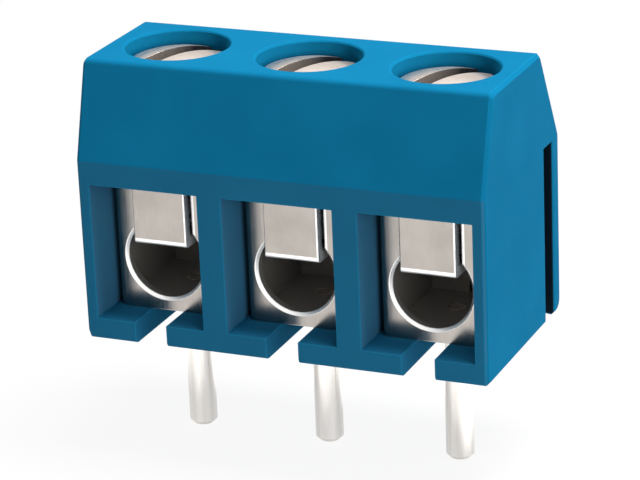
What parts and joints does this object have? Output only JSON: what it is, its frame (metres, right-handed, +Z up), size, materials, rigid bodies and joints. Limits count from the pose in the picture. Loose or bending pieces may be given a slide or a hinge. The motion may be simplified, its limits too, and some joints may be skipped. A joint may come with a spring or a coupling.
{
  "type": "pcb screw terminal",
  "caption": "Screw terminal block for a printed circuit board, with recessed wire entries, sliding wire guards, clamp screws in wells and round solder pins.",
  "frame": {"origin": "axis of the middle solder pin at the face that rests on the board", "axes": "+X along the row of poles, towards the end with the dovetail groove; +Y from the wire entries to the rear; +Z up from the board"},
  "size_m": [0.0158, 0.0076, 0.0144],
  "materials": {
    "housing_plastic": "satin blue moulded polyamide",
    "cage_tinned": "satin tin plating on brass",
    "guard_spring_steel": "satin stainless spring steel",
    "screw_zinced": "bright zinc plating",
    "pin_tinned": "satin tin plating on brass"
  },
  "bodies": {
    "base": {"housing": "housing_plastic", "clamp_cage_1": "cage_tinned", "clamp_cage_2": "cage_tinned", "clamp_cage_3": "cage_tinned", "solder_pin_1": "pin_tinned", "solder_pin_2": "pin_tinned", "solder_pin_3": "pin_tinned"},
    "guard_1": {"wire_guard_1": "guard_spring_steel"},
    "screw_1": {"clamp_screw_1": "screw_zinced"},
    "guard_2": {"wire_guard_2": "guard_spring_steel"},
    "screw_2": {"clamp_screw_2": "screw_zinced"},
    "guard_3": {"wire_guard_3": "guard_spring_steel"},
    "screw_3": {"clamp_screw_3": "screw_zinced"}
  },
  "joints": [
    {"name": "clamp_1_slide", "type": "slide", "parent": "base", "child": "guard_1", "axis": [0, 0, -1], "range_m": [0, 0.0014]},
    {"name": "clamp_1_turn", "type": "hinge", "parent": "guard_1", "child": "screw_1", "pos_m": [-0.005, -0.0004, 0.0065], "axis": [0, 0, -1], "range_deg": [0, 1120]},
    {"name": "clamp_2_slide", "type": "slide", "parent": "base", "child": "guard_2", "axis": [0, 0, -1], "range_m": [0, 0.0014]},
    {"name": "clamp_2_turn", "type": "hinge", "parent": "guard_2", "child": "screw_2", "pos_m": [0, -0.0004, 0.0065], "axis": [0, 0, -1], "range_deg": [0, 1120]},
    {"name": "clamp_3_slide", "type": "slide", "parent": "base", "child": "guard_3", "axis": [0, 0, -1], "range_m": [0, 0.0014]},
    {"name": "clamp_3_turn", "type": "hinge", "parent": "guard_3", "child": "screw_3", "pos_m": [0.005, -0.0004, 0.0065], "axis": [0, 0, -1], "range_deg": [0, 1120]}
  ],
  "couplings": [
    {"joint": "clamp_1_turn", "follows": "clamp_1_slide", "rad_per_m": 13963},
    {"joint": "clamp_2_turn", "follows": "clamp_2_slide", "rad_per_m": 13963},
    {"joint": "clamp_3_turn", "follows": "clamp_3_slide", "rad_per_m": 13963}
  ]
}
